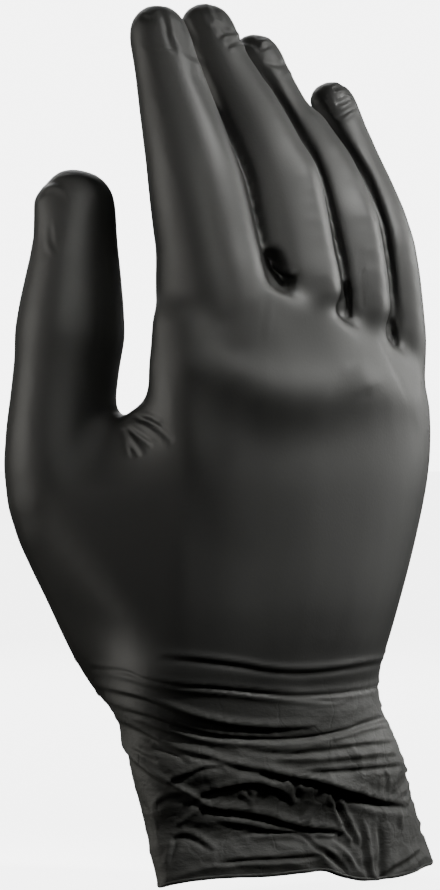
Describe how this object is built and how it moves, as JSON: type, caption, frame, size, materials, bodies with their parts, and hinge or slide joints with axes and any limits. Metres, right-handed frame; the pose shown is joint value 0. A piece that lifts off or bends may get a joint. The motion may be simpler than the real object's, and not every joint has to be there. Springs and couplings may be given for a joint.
{
  "type": "nitrile exam glove",
  "caption": "Thin hollow nitrile film in the form it has on a right hand: thumb and finger stalls, palm, creased loose cuff and beaded rim, open at the wrist.",
  "frame": {"origin": "centre of the cuff's mouth, where the hand goes in", "axes": "+Z from the mouth up to the fingertips, +X towards the little finger's side, +Y towards the palm's side"},
  "size_m": [0.1073, 0.069, 0.2198],
  "materials": {
    "nitrile_film": "semi-matte black dipped nitrile, finely textured, with soft sheen on stretched knuckles and creases in the loose cuff"
  },
  "bodies": {
    "root": {"glove_film": "nitrile_film"}
  },
  "joints": []
}
